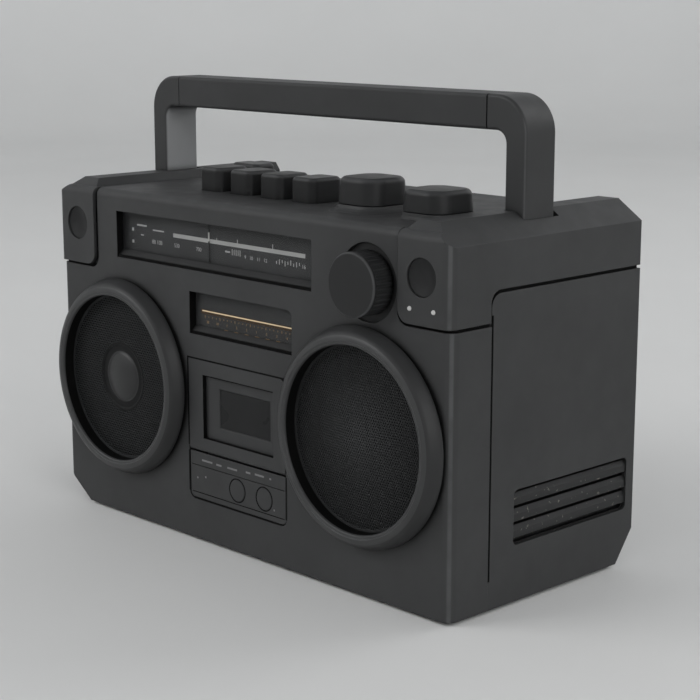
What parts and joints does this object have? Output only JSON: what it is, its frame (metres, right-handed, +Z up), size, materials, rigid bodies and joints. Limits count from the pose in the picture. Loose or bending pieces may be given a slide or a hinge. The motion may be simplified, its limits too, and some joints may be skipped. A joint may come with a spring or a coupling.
{
  "type": "portable stereo cassette radio",
  "caption": "Portable stereo cassette radio: box case with end caps, speakers, dial, tape door, top keys, knobs and a push-down handle.",
  "frame": {"origin": "middle of the whole object's footprint, on the ground under the feet", "axes": "+X to the right seen from the front, +Y to the back, +Z up"},
  "size_m": [0.427, 0.212, 0.3435],
  "materials": {
    "case_plastic": "fine satin grain",
    "control_plastic": "satin",
    "panel_plastic": "satin",
    "grille_mesh": "perforated steel, satin black",
    "clear_lens": "clear moulded window",
    "smoked_lens": "dark smoked window",
    "dial_print": "printed scale",
    "pointer": "pale pointer",
    "led": "diffused lamp",
    "rubber": "matt",
    "cone": "pressed cone",
    "steel": "zinc plated",
    "brass": "turned",
    "board": "laminate",
    "chrome": "polished",
    "nylon": "natural nylon"
  },
  "bodies": {
    "case": {"front_cabinet": "case_plastic", "rear_cabinet": "case_plastic", "top_deck": "case_plastic", "end_cap_left": "case_plastic", "end_cap_right": "case_plastic", "rubber_feet": "rubber", "handle_guides": "nylon", "control_pots": "steel", "tuning_capacitor": "steel", "dial_lens": "clear_lens", "dial_scale": "dial_print", "meter_lens": "clear_lens", "meter_scale": "dial_print", "control_panel": "panel_plastic", "microphones": "control_plastic", "indicator_leds": "led", "side_vents": "case_plastic", "speaker_ring_left": "case_plastic", "speaker_ring_right": "case_plastic", "speaker_grille_left": "grille_mesh", "speaker_grille_right": "grille_mesh", "speaker_driver_left": "steel", "speaker_driver_right": "steel", "speaker_cone_left": "cone", "speaker_cone_right": "cone", "cassette_chassis": "steel", "tape_head": "steel", "tape_motor": "steel", "drive_belt": "rubber", "circuit_board": "board", "power_transformer": "steel", "battery_tray": "nylon", "battery_contacts": "steel", "ac_inlet": "control_plastic", "case_screws": "steel"},
    "handle": {"handle_grip": "case_plastic", "handle_arm_left": "case_plastic", "handle_arm_right": "case_plastic"},
    "key_1": {"tape_key_1": "control_plastic"},
    "key_2": {"tape_key_2": "control_plastic"},
    "key_3": {"tape_key_3": "control_plastic"},
    "key_4": {"tape_key_4": "control_plastic"},
    "power_button": {"power_key": "control_plastic"},
    "volume": {"volume_knob": "control_plastic"},
    "tone": {"tone_knob": "control_plastic"},
    "tuner": {"tuning_knob": "control_plastic"},
    "pointer": {"dial_pointer": "pointer"},
    "tape_door": {"cassette_door": "panel_plastic", "cassette_window": "smoked_lens", "cassette_holder": "steel"},
    "record": {"record_button": "panel_plastic"},
    "mute": {"mute_button": "panel_plastic"},
    "battery_lid": {"battery_door": "case_plastic"},
    "mast": {"antenna_mast": "chrome"},
    "mast_tip": {"antenna_tip": "chrome"},
    "supply_reel": {"supply_spindle": "nylon"},
    "takeup_reel": {"takeup_spindle": "nylon"},
    "capstan": {"capstan_flywheel": "brass"},
    "roller": {"pinch_roller": "rubber"},
    "motor_rotor": {"motor_pulley": "brass"}
  },
  "joints": [
    {"name": "handle_slide", "type": "slide", "parent": "case", "child": "handle", "axis": [0, 0, 1], "range_m": [-0.036, 0]},
    {"name": "key_1_press", "type": "slide", "parent": "case", "child": "key_1", "axis": [0, 0, -1], "range_m": [0, 0.005], "stiffness_N_per_m": 400, "springref_m": -0.002},
    {"name": "key_2_press", "type": "slide", "parent": "case", "child": "key_2", "axis": [0, 0, -1], "range_m": [0, 0.005], "stiffness_N_per_m": 400, "springref_m": -0.002},
    {"name": "key_3_press", "type": "slide", "parent": "case", "child": "key_3", "axis": [0, 0, -1], "range_m": [0, 0.005], "stiffness_N_per_m": 400, "springref_m": -0.002},
    {"name": "key_4_press", "type": "slide", "parent": "case", "child": "key_4", "axis": [0, 0, -1], "range_m": [0, 0.005], "stiffness_N_per_m": 400, "springref_m": -0.002},
    {"name": "power_press", "type": "slide", "parent": "case", "child": "power_button", "axis": [0, 0, -1], "range_m": [0, 0.004], "stiffness_N_per_m": 400, "springref_m": -0.002},
    {"name": "volume_turn", "type": "hinge", "parent": "case", "child": "volume", "pos_m": [0.083, -0.032, 0.2725], "axis": [0, 0, 1], "range_deg": [-150, 150]},
    {"name": "tone_turn", "type": "hinge", "parent": "case", "child": "tone", "pos_m": [0.146, -0.032, 0.2725], "axis": [0, 0, 1], "range_deg": [-150, 150]},
    {"name": "tuning_turn", "type": "hinge", "parent": "case", "child": "tuner", "pos_m": [0.137, -0.09, 0.2215], "axis": [0, 1, 0], "range_deg": [-210, 600]},
    {"name": "pointer_slide", "type": "slide", "parent": "case", "child": "pointer", "axis": [1, 0, 0], "range_m": [-0.037, 0.105]},
    {"name": "tape_door_open", "type": "hinge", "parent": "case", "child": "tape_door", "pos_m": [0, -0.087, 0.0739], "axis": [1, 0, 0], "range_deg": [0, 30]},
    {"name": "record_press", "type": "slide", "parent": "case", "child": "record", "axis": [0, 1, 0], "range_m": [0, 0.0025], "stiffness_N_per_m": 400, "springref_m": -0.002},
    {"name": "mute_press", "type": "slide", "parent": "case", "child": "mute", "axis": [0, 1, 0], "range_m": [0, 0.0025], "stiffness_N_per_m": 400, "springref_m": -0.002},
    {"name": "battery_lid_open", "type": "hinge", "parent": "case", "child": "battery_lid", "pos_m": [0, 0.1028, 0.0361], "axis": [-1, 0, 0], "range_deg": [0, 90]},
    {"name": "antenna_swing", "type": "hinge", "parent": "case", "child": "mast", "pos_m": [0.152, 0.0995, 0.254], "axis": [0, 1, 0], "range_deg": [0, 110]},
    {"name": "antenna_extend", "type": "slide", "parent": "mast", "child": "mast_tip", "axis": [-1, 0, 0], "range_m": [0, 0.125]},
    {"name": "supply_spin", "type": "hinge", "parent": "case", "child": "supply_reel", "pos_m": [-0.02125, -0.065, 0.1105], "axis": [0, 1, 0], "continuous": true},
    {"name": "takeup_spin", "type": "hinge", "parent": "case", "child": "takeup_reel", "pos_m": [0.02125, -0.065, 0.1105], "axis": [0, 1, 0], "continuous": true},
    {"name": "capstan_spin", "type": "hinge", "parent": "case", "child": "capstan", "pos_m": [0.012, -0.065, 0.0865], "axis": [0, 1, 0], "continuous": true},
    {"name": "roller_spin", "type": "hinge", "parent": "case", "child": "roller", "pos_m": [0.0024, -0.065, 0.0865], "axis": [0, 1, 0], "continuous": true},
    {"name": "motor_spin", "type": "hinge", "parent": "case", "child": "motor_rotor", "pos_m": [-0.034, -0.065, 0.0865], "axis": [0, 1, 0], "continuous": true}
  ],
  "couplings": [
    {"joint": "pointer_slide", "follows": "tuning_turn", "m_per_rad": 0.01},
    {"joint": "motor_spin", "follows": "capstan_spin", "ratio": 5.5},
    {"joint": "roller_spin", "follows": "capstan_spin", "ratio": -0.2273},
    {"joint": "takeup_spin", "follows": "capstan_spin", "ratio": 0.07}
  ]
}
